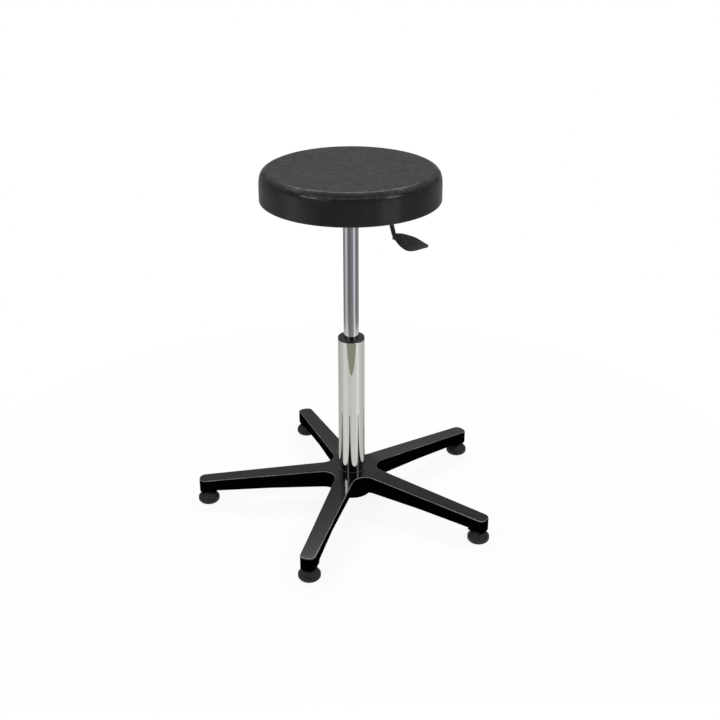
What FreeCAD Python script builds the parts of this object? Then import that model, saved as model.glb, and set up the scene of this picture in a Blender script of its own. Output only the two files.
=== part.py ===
import FreeCAD, Part
import math
import os

os.makedirs("parts", exist_ok=True)
V = FreeCAD.Vector
UP = V(0, 0, 1)

# Driving sizes in millimetres. The origin is on the column's axis at the floor,
# +Z is up and one arm of the base points along -Y.

# Seat
seat_d = 320.0
seat_top_z = 665.0
seat_bottom_z = 608.0
seat_crown = 1.8
seat_edge_r = 4.5
seat_side_low = 14.0
board_d = 296.0
board_t = 12.0

# Plate, bolts and lever housing under the seat
plate_side = 150.0
plate_t = 3.0
plate_corner_r = 12.0
bolt_spacing = 125.0
bolt_r = 3.0
bolt_hole_clearance = 0.5
bolt_tip_below_board_top = 2.0
bolt_head_r = 5.5
bolt_head_h = 4.0
key_r = 2.3
key_depth = 2.4
washer_r = 6.5
washer_t = 1.5
nut_barrel_r = 4.0
nut_barrel_l = 9.0
nut_flange_r = 9.0
nut_flange_t = 1.2
housing_depth = 28.0
housing_back_x = -40.0
housing_front_x = 50.0
housing_half_y = 26.0
housing_wall = 2.5
housing_corner_r = 6.0
housing_edge_r = 2.4
housing_slot_half = 6.0
housing_slot_z = 590.0

# Column: outer tube, bush and pressure cylinder
tube_d = 50.0
tube_wall = 2.0
tube_top_z = 341.0
tube_bottom_z = 22.0
tube_rim_r = 0.9
taper_angle = 1.4378
bush_length = 71.0
bush_flange_d = 49.2
bush_flange_t = 4.0
bush_edge_r = 1.6
cylinder_d = 28.0
cylinder_wall = 2.0
cylinder_length = 324.0
cylinder_top_z = 589.0
cylinder_end_t = 2.0
cylinder_mouth_r = 6.0
cylinder_eye_r = 5.0
cone_socket_d = 36.0
cone_bottom_z = 566.0
cone_top_z = 588.0
running_fit = 0.05

# Inside the cylinder
rod_d = 10.0
rod_top_z = 306.0
rod_spigot_d = 8.0
rod_spigot_bottom_z = 19.4
guide_t = 22.0
seal_t = 4.0
piston_gap = 2.0
piston_t = 10.0
piston_ring_r = 1.5
valve_bottom_z = 558.0
valve_step_z = 574.0
release_pin_r = 4.0
release_pin_bottom_z = 578.0
lever_free_play = 0.3
head_step = 1.0
valve_needle_r = 1.5
valve_needle_bottom_z = 552.0

# Foot bearing of the rod
cup_t = 4.0
race_r = 11.0
race_t = 1.5
ball_r = 1.73
ball_space = 3.5
ball_circle_r = 7.6
ball_count = 9
cage_t = 1.6
cage_clearance = 0.1
bumper_r = 12.0
bumper_length = 27.0
clip_r = 7.0
clip_t = 1.2
clip_groove_r = 3.3
clip_gap = 0.1

# Five-arm base
arm_count = 5
hub_top_z = 68.0
arm_bottom_z = 29.0
arm_tip_top_z = 49.5
arm_end_r = 296.5
arm_root_r = 80.0
arm_root_half = 18.5
arm_tip_half = 14.2
arm_tip_corner_r = 11.0
hub_flat_r = 58.0
hub_shoulder_r = 220.0
crotch_r = 24.0
side_draft = 0.21
hub_boss_r = 39.0
hub_boss_bottom_z = 18.0
hub_boss_top_z = 45.0
foot_boss_reach = 20.0
foot_boss_corner_r = 5.0
skirt_bottom_z = 24.5
skirt_reach = 15.5
skirt_gap = 1.0
skin_t = 4.5
pocket_half = 5.6
pocket_start_r = 46.0
pocket_margin = 26.0
pocket_corner_r = 2.0
rib_t = 3.0
rib_count = 4

# Glides
glide_inset = 16.5
glide_d = 40.6
glide_bottom_r = 17.0
glide_band_low_z = 4.0
glide_band_top_z = 10.5
glide_dome_r = 14.0
glide_dome_top_z = 19.0
glide_neck_r = 11.0
glide_neck_z = 20.5
glide_seat_gap = 0.4
stem_r = 5.4
stem_foot_z = 7.0
stem_top_z = 44.0
socket_r = 5.5
socket_top_z = 46.0
grip_z = 36.0
grip_h = 1.6
grip_depth = 0.7

# Lever
lever_rod_r = 4.0
lever_z = 597.0
lever_inner_x = -5.0
lever_bend_x = 66.5
lever_bend_r = 14.0
lever_knee_x = 80.0
lever_knee_z = 544.0
lever_knee_r = 10.0
lever_embed = 18.0
lever_droop = 8.7
lever_pivot_x = 34.0
pivot_pin_r = 2.0
pivot_clip_r = 4.4
pivot_clip_t = 0.8
pivot_clip_gap = 0.2
pivot_pin_end = 3.0
pivot_groove_r = 1.5
paddle_length = 61.6
paddle_cant = 25.0


# Sketching helpers

def in_plan(z):
    """Return a map from plan points to space at one height."""
    return lambda x, y: V(x, y, z)


def upright(r, z):
    """Map a radius and a height to the XZ plane."""
    return V(r, 0, z)


def unit(ax, ay, bx, by):
    """Unit direction from a to b."""
    length = math.hypot(bx - ax, by - ay)
    return (bx - ax) / length, (by - ay) / length


def rounded_edges(corners, place, closed=True):
    """Lines and arcs through corners given as (x, y, corner radius)."""
    count = len(corners)
    joints = []
    for i in range(count):
        x, y, radius = corners[i]
        at_end = not closed and i in (0, count - 1)
        if radius == 0 or at_end:
            joints.append(((x, y), None, (x, y)))
            continue
        px, py, _ = corners[i - 1]
        nx, ny, _ = corners[(i + 1) % count]
        ax, ay = unit(x, y, px, py)
        bx, by = unit(x, y, nx, ny)
        half = math.acos(max(-1.0, min(1.0, ax * bx + ay * by))) / 2
        back = radius / math.tan(half)
        mx, my = unit(0, 0, ax + bx, ay + by)
        reach = radius / math.sin(half) - radius
        start = (x + ax * back, y + ay * back)
        middle = (x + mx * reach, y + my * reach)
        stop = (x + bx * back, y + by * back)
        joints.append((start, middle, stop))
    edges = []
    for i, (start, middle, stop) in enumerate(joints):
        if middle:
            arc = Part.Arc(place(*start), place(*middle), place(*stop))
            edges.append(arc.toShape())
        if closed or i < count - 1:
            nearest = joints[(i + 1) % count][0]
            if math.dist(stop, nearest) > 1e-6:
                edges.append(Part.makeLine(place(*stop), place(*nearest)))
    return edges


def turned(corners):
    """Solid of revolution about Z from corners given as (r, z, corner radius)."""
    face = Part.Face(Part.Wire(rounded_edges(corners, upright)))
    return face.revolve(V(0, 0, 0), UP, 360)


def prism(corners, low_z, high_z):
    """Upright prism from plan corners given as (x, y, corner radius)."""
    face = Part.Face(Part.Wire(rounded_edges(corners, in_plan(low_z))))
    return face.extrude(V(0, 0, high_z - low_z))


def ring(outer_r, inner_r, low_z, high_z):
    """Plain ring or washer."""
    return turned([(inner_r, low_z, 0), (outer_r, low_z, 0), (outer_r, high_z, 0), (inner_r, high_z, 0)])


def disc(radius, low_z, high_z, x=0.0, y=0.0):
    """Plain upright cylinder."""
    return Part.makeCylinder(radius, high_z - low_z, V(x, y, low_z))


def about_z(shape, degrees):
    """Copy of a shape turned about the column's axis."""
    copy = shape.copy()
    copy.rotate(V(0, 0, 0), UP, degrees)
    return copy


def save(name, shape):
    """Write one piece and say if its solid isn't sound."""
    solid = shape.removeSplitter() if shape.ShapeType != "Compound" else shape
    if not solid.isValid():
        print("not valid:", name)
    solid.exportStep(os.path.join("parts", name + ".step"))


# The taper shared by the tube, the hub, the cylinder and its socket

taper = math.tan(math.radians(taper_angle))
tube_r = tube_d / 2
tube_bore_r = tube_r - tube_wall
tube_taper_r = tube_r - taper * (hub_top_z - tube_bottom_z)
cylinder_r = cylinder_d / 2
cylinder_bore_r = cylinder_r - cylinder_wall
cylinder_bottom_z = cylinder_top_z - cylinder_length
cylinder_end_r = cylinder_r - taper * (cylinder_top_z - cone_bottom_z)


def hub_bore_r(z):
    """Radius of the tube's taper in the hub."""
    return tube_r - taper * (hub_top_z - z)


def socket_bore_r(z):
    """Radius of the cylinder's taper in the cone socket."""
    return cylinder_r - taper * (z - cone_bottom_z)


# Base: a moulded star with drafted arms, a hub with a tapered bore, solid feet with a
# skirt at the tip, and ribbed pockets that open downwards.

def along_arm(index):
    """Direction of one arm and of its left side, in plan."""
    angle = math.radians(-90 + index * 360 / arm_count)
    return (math.cos(angle), math.sin(angle)), (-math.sin(angle), math.cos(angle))


def star_corners(inset):
    """Plan corners of the star, drawn in by the draft at a lower height."""
    spread = side_draft * (hub_top_z - arm_tip_top_z)
    tip_half = arm_tip_half + spread - inset
    root_half = arm_root_half - inset
    lean = (root_half - tip_half) / (arm_end_r - arm_root_r)
    end_r = arm_end_r + spread - inset
    half_turn = math.pi / arm_count
    reach = tip_half + lean * arm_end_r
    crotch = reach / (math.sin(half_turn) + lean * math.cos(half_turn))
    tip_corner = arm_tip_corner_r + spread - inset
    corners = []
    for i in range(arm_count):
        (dx, dy), (nx, ny) = along_arm(i)
        end_half = tip_half - lean * (end_r - arm_end_r)
        for side in (-1, 1):
            x = dx * end_r + nx * end_half * side
            y = dy * end_r + ny * end_half * side
            corners.append((x, y, tip_corner))
        angle = math.radians(-90 + (i + 0.5) * 360 / arm_count)
        crotch_corner = (crotch * math.cos(angle), crotch * math.sin(angle), crotch_r + inset)
        corners.append(crotch_corner)
    return corners


def under_top(drop):
    """Everything below the star's top surface, lowered by a drop."""
    spare = arm_tip_half
    rim_r = arm_end_r + spare
    fall = (hub_top_z - arm_tip_top_z) / (arm_end_r - hub_flat_r)
    rim_z = arm_tip_top_z - fall * spare - drop
    top_z = hub_top_z - drop
    corners = [
        (0, 0, 0),
        (rim_r, 0, 0),
        (rim_r, rim_z, 0),
        (hub_flat_r, top_z, hub_shoulder_r),
        (0, top_z, 0),
    ]
    return turned(corners)


low_inset = side_draft * (hub_top_z - arm_bottom_z)
top_wire = Part.Wire(rounded_edges(star_corners(0.0), in_plan(hub_top_z)))
low_wire = Part.Wire(rounded_edges(star_corners(low_inset), in_plan(arm_bottom_z)))
star = Part.makeLoft([low_wire, top_wire], True, True)

glide_circle_r = arm_end_r - glide_inset
foot_boss_start_r = glide_circle_r - foot_boss_reach
skirt_start_r = glide_circle_r - skirt_reach
pocket_end_r = glide_circle_r - pocket_margin
foot_bosses = []
sockets = []
pockets = []
rib_pitch = (pocket_end_r - pocket_start_r + rib_t) / rib_count
for i in range(arm_count):
    (dx, dy), (nx, ny) = along_arm(i)
    turn = i * 360 / arm_count
    foot_plan = [
        (-arm_tip_half, -arm_end_r, arm_tip_corner_r),
        (arm_tip_half, -arm_end_r, arm_tip_corner_r),
        (arm_tip_half, -foot_boss_start_r, foot_boss_corner_r),
        (-arm_tip_half, -foot_boss_start_r, foot_boss_corner_r),
    ]
    boss = prism(foot_plan, skirt_bottom_z, hub_top_z)
    hollow = disc(glide_neck_r + skirt_gap, 0, arm_bottom_z, 0, -glide_circle_r)
    inboard = Part.makeBox(
        2 * skirt_start_r, skirt_start_r, arm_bottom_z, V(-skirt_start_r, -skirt_start_r, 0)
    )
    foot_bosses.append(about_z(boss.cut([hollow, inboard]), turn))
    sockets.append(disc(socket_r, 0, socket_top_z, glide_circle_r * dx, glide_circle_r * dy))
    for j in range(rib_count):
        start = pocket_start_r + j * rib_pitch
        stop = start + rib_pitch - rib_t
        corners = [
            (-pocket_half, -start, pocket_corner_r),
            (pocket_half, -start, pocket_corner_r),
            (pocket_half, -stop, pocket_corner_r),
            (-pocket_half, -stop, pocket_corner_r),
        ]
        pockets.append(about_z(prism(corners, 0, hub_top_z), turn))

hub_boss = turned(
    [
        (0, hub_boss_bottom_z, 0),
        (hub_boss_r - 1.5, hub_boss_bottom_z, 2.0),
        (hub_boss_r, hub_boss_top_z, 0),
        (0, hub_boss_top_z, 0),
    ]
)
star = star.fuse(foot_bosses + [hub_boss]).removeSplitter()
base = star.common(under_top(0.0))
base = base.cut(Part.makeCompound(pockets).common(under_top(skin_t)))
hub_bore = turned(
    [
        (0, hub_boss_bottom_z - 1, 0),
        (hub_bore_r(hub_boss_bottom_z - 1), hub_boss_bottom_z - 1, 0),
        (tube_r, hub_top_z, 0),
        (tube_r, hub_top_z + 5, 0),
        (0, hub_top_z + 5, 0),
    ]
)
base = base.cut([hub_bore] + sockets)
save("base_star", base)

# Glides: a black foot with a domed top and a thick neck, on a steel stem that a
# sprung grip ring holds in the arm's socket.

glide_neck_top_z = arm_bottom_z - glide_seat_gap
pad = turned(
    [
        (0, 0, 0),
        (glide_bottom_r, 0, 3.0),
        (glide_d / 2, glide_band_low_z, 3.0),
        (glide_d / 2, glide_band_top_z, 3.0),
        (glide_dome_r, glide_dome_top_z, 4.0),
        (glide_neck_r, glide_neck_z, 0.6),
        (glide_neck_r, glide_neck_top_z, 0.8),
        (stem_r, glide_neck_top_z, 0),
        (stem_r, stem_foot_z, 0),
        (0, stem_foot_z, 0),
    ]
)
groove_r = socket_r - grip_depth
stem = turned(
    [
        (0, stem_foot_z, 0),
        (stem_r, stem_foot_z, 0),
        (stem_r, grip_z, 0),
        (groove_r, grip_z, 0),
        (groove_r, grip_z + grip_h, 0),
        (stem_r, grip_z + grip_h, 0),
        (stem_r, stem_top_z, 1.0),
        (0, stem_top_z, 0),
    ]
)
grip = ring(socket_r, groove_r, grip_z, grip_z + grip_h)
for i in range(arm_count):
    (dx, dy), _ = along_arm(i)
    place = V(glide_circle_r * dx, glide_circle_r * dy, 0)
    for name, shape in (("glide_pad", pad), ("glide_stem", stem), ("grip_ring", grip)):
        copy = shape.copy()
        copy.translate(place)
        save(f"{name}_{i + 1}", copy)

# Outer tube: chromed steel, swaged to the taper of the hub at its foot.

tube = turned(
    [
        (tube_taper_r, tube_bottom_z, 0),
        (tube_r, hub_top_z, 0),
        (tube_r, tube_top_z, tube_rim_r),
        (tube_bore_r, tube_top_z, tube_rim_r / 2),
        (tube_bore_r, hub_top_z, 0),
        (tube_taper_r - tube_wall, tube_bottom_z, 0),
    ]
)
save("column_tube", tube)


def tube_foot_r(z):
    """Bore radius of the tube's swaged foot."""
    return hub_bore_r(z) - tube_wall


cup_top_z = tube_bottom_z + cup_t
spigot_r = rod_spigot_d / 2
rod_r = rod_d / 2
cup = turned(
    [
        (spigot_r + running_fit, tube_bottom_z, 0),
        (tube_foot_r(tube_bottom_z), tube_bottom_z, 0),
        (tube_foot_r(cup_top_z), cup_top_z, 0),
        (spigot_r + running_fit, cup_top_z, 0),
    ]
)
save("tube_cup", cup)

# Guide bush: black acetal, pressed into the tube, with a flange on the tube's rim.

bush = turned(
    [
        (cylinder_r + running_fit, tube_top_z - bush_length, 0),
        (tube_bore_r, tube_top_z - bush_length, 1.0),
        (tube_bore_r, tube_top_z, 0),
        (bush_flange_d / 2, tube_top_z, 0),
        (bush_flange_d / 2, tube_top_z + bush_flange_t, bush_edge_r),
        (cylinder_r + running_fit, tube_top_z + bush_flange_t, 0.8),
    ]
)
save("guide_bush", bush)

# Foot bearing: two races, a cage of balls, and a rubber bumper that stops the cylinder.

lower_race_top = cup_top_z + race_t
upper_race_low = lower_race_top + ball_space
rod_shoulder_z = upper_race_low + race_t
ball_z = lower_race_top + ball_space / 2
save("lower_race", ring(race_r, spigot_r + running_fit, cup_top_z, lower_race_top))
save("upper_race", ring(race_r, spigot_r, upper_race_low, rod_shoulder_z))
cage = ring(race_r - 0.4, spigot_r + 2 * running_fit, ball_z - cage_t / 2, ball_z + cage_t / 2)
balls = []
windows = []
for i in range(ball_count):
    angle = 2 * math.pi * i / ball_count
    centre = V(ball_circle_r * math.cos(angle), ball_circle_r * math.sin(angle), ball_z)
    balls.append(Part.makeSphere(ball_r, centre))
    windows.append(disc(ball_r + cage_clearance, ball_z - cage_t, ball_z + cage_t, centre.x, centre.y))
save("bearing_cage", cage.cut(windows))
save("bearing_balls", Part.makeCompound(balls))
save("bumper", ring(bumper_r, rod_r, rod_shoulder_z, rod_shoulder_z + bumper_length))

# Piston rod: its spigot turns in the cup, and a clip under the cup keeps it there.

clip_top_z = tube_bottom_z - clip_gap
rod = turned(
    [
        (0, rod_spigot_bottom_z, 0),
        (spigot_r, rod_spigot_bottom_z, 0.4),
        (spigot_r, clip_top_z - clip_t, 0),
        (clip_groove_r, clip_top_z - clip_t, 0),
        (clip_groove_r, clip_top_z, 0),
        (spigot_r, clip_top_z, 0),
        (spigot_r, rod_shoulder_z, 0),
        (rod_r, rod_shoulder_z, 0),
        (rod_r, rod_top_z, 0.5),
        (0, rod_top_z, 0),
    ]
)
save("piston_rod", rod)
save("rod_clip", ring(clip_r, clip_groove_r, clip_top_z - clip_t, clip_top_z))

# Pressure cylinder: chromed steel, closed by inturned ends, tapered at its head.

head_bore_r = cylinder_bore_r - head_step
cylinder = turned(
    [
        (cylinder_mouth_r, cylinder_bottom_z, 0),
        (cylinder_r, cylinder_bottom_z, 1.2),
        (cylinder_r, cone_bottom_z, 0),
        (cylinder_end_r, cylinder_top_z, 0.8),
        (cylinder_eye_r, cylinder_top_z, 0),
        (cylinder_eye_r, cylinder_top_z - cylinder_end_t, 0),
        (head_bore_r, cylinder_top_z - cylinder_end_t, 0),
        (head_bore_r, valve_bottom_z, 0),
        (cylinder_bore_r, valve_bottom_z, 0),
        (cylinder_bore_r, cylinder_bottom_z + cylinder_end_t, 0),
        (cylinder_mouth_r, cylinder_bottom_z + cylinder_end_t, 0),
    ]
)
save("gas_cylinder", cylinder)
guide_low = cylinder_bottom_z + cylinder_end_t
seal_low = guide_low + guide_t
piston_low = seal_low + seal_t + piston_gap
save("rod_guide", ring(cylinder_bore_r, rod_r + running_fit, guide_low, seal_low))
save("rod_seal", ring(cylinder_bore_r, rod_r + running_fit, seal_low, seal_low + seal_t))
piston_r = cylinder_bore_r - running_fit
piston_mid = piston_low + piston_t / 2
piston_groove_r = piston_r - 2 * piston_ring_r
piston = turned(
    [
        (rod_r, piston_low, 0),
        (piston_r, piston_low, 0.6),
        (piston_r, piston_mid - piston_ring_r, 0),
        (piston_groove_r, piston_mid - piston_ring_r, 0),
        (piston_groove_r, piston_mid + piston_ring_r, 0),
        (piston_r, piston_mid + piston_ring_r, 0),
        (piston_r, piston_low + piston_t, 0.6),
        (rod_r, piston_low + piston_t, 0),
    ]
)
save("piston", piston)
save("piston_ring", Part.makeTorus(piston_r - piston_ring_r, piston_ring_r, V(0, 0, piston_mid)))

# Release valve: a body in the cylinder's head and the pin that the lever pushes down.

valve_top_z = cylinder_top_z - cylinder_end_t
needle_bore = valve_needle_r + running_fit
pin_bore = release_pin_r + running_fit
valve = turned(
    [
        (needle_bore, valve_bottom_z, 0),
        (head_bore_r, valve_bottom_z, 0),
        (head_bore_r, valve_top_z, 0),
        (pin_bore, valve_top_z, 0),
        (pin_bore, valve_step_z, 0),
        (needle_bore, valve_step_z, 0),
    ]
)
save("valve_body", valve)
pin_top_z = lever_z - lever_rod_r - lever_free_play
release_pin = turned(
    [
        (0, valve_needle_bottom_z, 0),
        (valve_needle_r, valve_needle_bottom_z, 0.3),
        (valve_needle_r, release_pin_bottom_z, 0),
        (release_pin_r, release_pin_bottom_z, 0),
        (release_pin_r, pin_top_z, 0.8),
        (0, pin_top_z, 0),
    ]
)
save("release_pin", release_pin)

# Plate under the seat: flat pressed steel, with the lever housing and the tapered
# cone socket welded below it.

plate_bottom_z = seat_bottom_z - plate_t
half_side = plate_side / 2
plate_corners = [
    (-half_side, -half_side, plate_corner_r),
    (half_side, -half_side, plate_corner_r),
    (half_side, half_side, plate_corner_r),
    (-half_side, half_side, plate_corner_r),
]
plate = prism(plate_corners, plate_bottom_z, seat_bottom_z)
bolt_places = [(sx * bolt_spacing / 2, sy * bolt_spacing / 2) for sx in (-1, 1) for sy in (-1, 1)]
for x, y in bolt_places:
    plate = plate.cut(disc(bolt_r + bolt_hole_clearance, plate_bottom_z - 1, seat_bottom_z + 1, x, y))
save("seat_plate", plate)

housing_low = plate_bottom_z - housing_depth
housing = Part.makeBox(
    housing_front_x - housing_back_x,
    2 * housing_half_y,
    housing_depth,
    V(housing_back_x, -housing_half_y, housing_low),
)
corner_edges = [e for e in housing.Edges if e.BoundBox.ZLength > housing_depth / 2]
housing = housing.makeFillet(housing_corner_r, corner_edges)
low_edges = [e for e in housing.Edges if e.BoundBox.ZMax < housing_low + 1e-3]
housing = housing.makeFillet(housing_edge_r, low_edges)
inner_r = housing_corner_r - housing_wall
inner_back = housing_back_x + housing_wall
inner_front = housing_front_x - housing_wall
inner_half = housing_half_y - housing_wall
inner = [
    (inner_back, -inner_half, inner_r),
    (inner_front, -inner_half, inner_r),
    (inner_front, inner_half, inner_r),
    (inner_back, inner_half, inner_r),
]
housing = housing.cut(prism(inner, housing_low + housing_wall, plate_bottom_z + 1))
slot = Part.makeBox(
    3 * housing_wall,
    2 * housing_slot_half,
    plate_bottom_z - housing_slot_z + 1,
    V(housing_front_x - 2 * housing_wall, -housing_slot_half, housing_slot_z),
)
cross_start = V(lever_pivot_x, -housing_half_y - 1, lever_z)
cross_hole = Part.makeCylinder(pivot_pin_r, 2 * housing_half_y + 2, cross_start, V(0, 1, 0))
socket_hole = disc(cone_socket_d / 2, housing_low - 1, housing_low + housing_wall + 1)
save("lever_housing", housing.cut([slot, cross_hole, socket_hole]))
cone_socket = turned(
    [
        (socket_bore_r(cone_bottom_z), cone_bottom_z, 0),
        (cone_socket_d / 2, cone_bottom_z, 1.0),
        (cone_socket_d / 2, cone_top_z, 1.0),
        (socket_bore_r(cone_top_z), cone_top_z, 0),
    ]
)
save("cone_socket", cone_socket)

# Seat: a plywood board under an integral-skin foam cushion with a low crown, a soft
# shoulder and a side that draws in towards the top.

seat_r = seat_d / 2
board_r = board_d / 2
board_top_z = seat_bottom_z + board_t
board = disc(board_r, seat_bottom_z, board_top_z)
barrel_low = board_top_z - nut_barrel_l
washer_low = plate_bottom_z - washer_t
head_low = washer_low - bolt_head_h
bolt_tip = board_top_z - bolt_tip_below_board_top
flange_top = board_top_z + nut_flange_t
flanges = []
for i, (x, y) in enumerate(bolt_places):
    board = board.cut(disc(nut_barrel_r, seat_bottom_z - 1, board_top_z + 1, x, y))
    flange = disc(nut_flange_r, board_top_z, flange_top, x, y)
    flanges.append(flange)
    nut = disc(nut_barrel_r, barrel_low, board_top_z, x, y).fuse(flange).removeSplitter()
    save(f"tee_nut_{i + 1}", nut.cut(disc(bolt_r, barrel_low - 1, flange_top + 1, x, y)))
    head = disc(bolt_head_r, head_low, washer_low, x, y)
    low_rim = [e for e in head.Edges if e.BoundBox.ZMax < head_low + 1e-3]
    head = head.makeFillet(1.6, low_rim)
    turns = [math.pi * k / 3 for k in range(6)]
    hexagon = [(x + key_r * math.cos(t), y + key_r * math.sin(t), 0) for t in turns]
    head = head.cut(prism(hexagon, head_low - 1, head_low + key_depth))
    save(f"seat_bolt_{i + 1}", head.fuse(disc(bolt_r, washer_low, bolt_tip, x, y)))
    washer = disc(washer_r, washer_low, plate_bottom_z, x, y)
    save(f"bolt_washer_{i + 1}", washer.cut(disc(bolt_r, washer_low - 1, plate_bottom_z + 1, x, y)))
save("seat_board", board)

crown = Part.BSplineCurve()
crown.interpolate(
    Points=[
        upright(0, seat_top_z),
        upright(seat_r * 0.40, seat_top_z - seat_crown * 0.16),
        upright(seat_r * 0.70, seat_top_z - seat_crown * 0.50),
        upright(seat_r * 0.865, seat_top_z - seat_crown * 1.05),
        upright(seat_r - 9.5, seat_top_z - seat_crown - 3.6),
        upright(seat_r - 3.2, seat_top_z - seat_crown - 10.6),
        upright(seat_r - 0.8, seat_top_z - seat_crown - 21.0),
        upright(seat_r, seat_bottom_z + seat_side_low),
    ],
    InitialTangent=V(1, 0, 0),
    FinalTangent=V(0, 0, -1),
)
lower = [
    (seat_r, seat_bottom_z + seat_side_low, 0),
    (seat_r, seat_bottom_z, seat_edge_r),
    (board_r, seat_bottom_z, 0),
    (board_r, board_top_z, 0),
    (0, board_top_z, 0),
    (0, seat_top_z, 0),
]
cushion_wire = Part.Wire([crown.toShape()] + rounded_edges(lower, upright, closed=False))
cushion = Part.Face(cushion_wire).revolve(V(0, 0, 0), UP, 360)
save("seat_cushion", cushion.cut(flanges))

# Lever: a bent steel rod on a cross pin. Its inner end lies over the release pin and
# its outer end carries a moulded leaf-shaped paddle.

droop = math.radians(lever_droop)
end_x = lever_knee_x + lever_embed * math.cos(droop)
end_z = lever_knee_z - lever_embed * math.sin(droop)
rod_corners = [
    (lever_inner_x, lever_z, 0),
    (lever_bend_x, lever_z, lever_bend_r),
    (lever_knee_x, lever_knee_z, lever_knee_r),
    (end_x, end_z, 0),
]
rod_path = Part.Wire(rounded_edges(rod_corners, upright, closed=False))
section = Part.Wire(Part.makeCircle(lever_rod_r, upright(lever_inner_x, lever_z), V(1, 0, 0)))
lever_rod = rod_path.makePipeShell([section], True, False)
cross_r = pivot_pin_r + running_fit
cross_start = V(lever_pivot_x, -2 * lever_rod_r, lever_z)
cross_bore = Part.makeCylinder(cross_r, 4 * lever_rod_r, cross_start, V(0, 1, 0))
save("lever_rod", lever_rod.cut(cross_bore))

pin_half = housing_half_y + pivot_pin_end
groove_in = housing_half_y + pivot_clip_gap
groove_out = groove_in + pivot_clip_t
cross_pin = turned(
    [
        (0, -pin_half, 0),
        (pivot_pin_r, -pin_half, 0.4),
        (pivot_pin_r, -groove_out, 0),
        (pivot_groove_r, -groove_out, 0),
        (pivot_groove_r, -groove_in, 0),
        (pivot_pin_r, -groove_in, 0),
        (pivot_pin_r, groove_in, 0),
        (pivot_groove_r, groove_in, 0),
        (pivot_groove_r, groove_out, 0),
        (pivot_pin_r, groove_out, 0),
        (pivot_pin_r, pin_half, 0.4),
        (0, pin_half, 0),
    ]
)


def across(shape):
    """Lay a turned piece along Y at the lever's pivot."""
    copy = shape.copy()
    copy.rotate(V(0, 0, 0), V(1, 0, 0), -90)
    copy.translate(V(lever_pivot_x, 0, lever_z))
    return copy


save("pivot_pin", across(cross_pin))
save("pivot_clip_1", across(ring(pivot_clip_r, pivot_groove_r, groove_in, groove_out)))
save("pivot_clip_2", across(ring(pivot_clip_r, pivot_groove_r, -groove_out, -groove_in)))


def paddle_section(along, near, far, thick, sag):
    """Closed oval across the paddle at one distance along it."""
    middle = (near + far) / 2
    half = (near - far) / 2
    points = []
    for k in range(24):
        angle = 2 * math.pi * k / 24
        bulge = thick * math.sin(angle) * (1 - 0.25 * math.cos(angle) ** 2)
        points.append(V(along, -middle - half * math.cos(angle), bulge - sag))
    oval = Part.BSplineCurve()
    oval.interpolate(points, PeriodicFlag=True)
    return Part.Wire(oval.toShape())


paddle = Part.makeLoft(
    [
        paddle_section(-3.0, 4.8, -8.0, 5.4, 0.0),
        paddle_section(4.0, 7.6, -11.0, 5.6, 0.0),
        paddle_section(11.0, 14.5, -13.0, 5.6, 0.0),
        paddle_section(18.0, 19.3, -13.4, 5.3, 0.3),
        paddle_section(28.0, 23.6, -13.2, 4.6, 0.6),
        paddle_section(38.0, 22.0, -11.2, 3.8, 0.7),
        paddle_section(47.0, 16.2, -7.6, 3.0, 0.7),
        paddle_section(54.5, 10.0, -4.2, 2.2, 0.6),
        paddle_section(paddle_length, 4.8, -1.6, 1.4, 0.5),
    ],
    True,
    False,
)
paddle.rotate(V(0, 0, 0), V(1, 0, 0), paddle_cant)
paddle.rotate(V(0, 0, 0), V(0, 1, 0), lever_droop)
paddle.translate(V(lever_knee_x, 0, lever_knee_z))
save("lever_paddle", paddle.cut(lever_rod))
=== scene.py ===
import math

import bmesh
import bpy
from mathutils import Matrix, Vector, noise


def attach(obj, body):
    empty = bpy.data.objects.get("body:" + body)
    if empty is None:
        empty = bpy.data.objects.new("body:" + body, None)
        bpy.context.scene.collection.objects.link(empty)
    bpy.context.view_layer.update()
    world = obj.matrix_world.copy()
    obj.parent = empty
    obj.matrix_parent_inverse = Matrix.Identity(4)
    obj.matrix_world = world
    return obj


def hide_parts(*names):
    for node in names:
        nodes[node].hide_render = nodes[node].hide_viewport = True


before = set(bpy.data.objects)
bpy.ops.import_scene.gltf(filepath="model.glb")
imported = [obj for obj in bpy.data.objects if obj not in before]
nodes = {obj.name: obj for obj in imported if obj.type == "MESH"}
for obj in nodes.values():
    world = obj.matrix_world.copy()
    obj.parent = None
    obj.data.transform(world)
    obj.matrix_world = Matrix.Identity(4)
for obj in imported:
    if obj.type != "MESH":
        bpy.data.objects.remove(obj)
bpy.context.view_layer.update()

# Star base. One moulding of black glass-filled nylon: five drafted arms, a hub with a
# tapered bore, a skirt round each foot, and ribbed pockets that open downwards. Every
# top edge is rounded, and it catches the light as a thin line, which a painted
# highlight on the edge makes paler.

MM = 0.001
WELD = 2e-6
ARMS = 5
HUB_TOP = 68.0
ARM_BOTTOM = 29.0
TIP_TOP = 49.5
ARM_END = 296.5
ARM_ROOT = 80.0
ROOT_HALF = 18.5
TIP_HALF = 14.2
TIP_CORNER = 11.0
HUB_FLAT = 58.0
SHOULDER = 220.0
CROTCH = 24.0
DRAFT = 0.21
EDGE = 1.5
LOW_EDGE = 0.9
FOOT_START = 262.0
FOOT_FADE = 8.0
GLIDE_CIRCLE = 280.0
TUBE_R = 25.0
TAPER = math.tan(math.radians(1.4378))
END_STEPS = 3
CORNER_STEPS = 9
SIDE_STEPS = 34

fall = (HUB_TOP - TIP_TOP) / (ARM_END - HUB_FLAT)
half_bend = math.atan(fall) / 2
shoulder_from = HUB_FLAT - SHOULDER * math.tan(half_bend)
shoulder_to = HUB_FLAT + SHOULDER * math.tan(half_bend) * math.cos(2 * half_bend)


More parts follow.
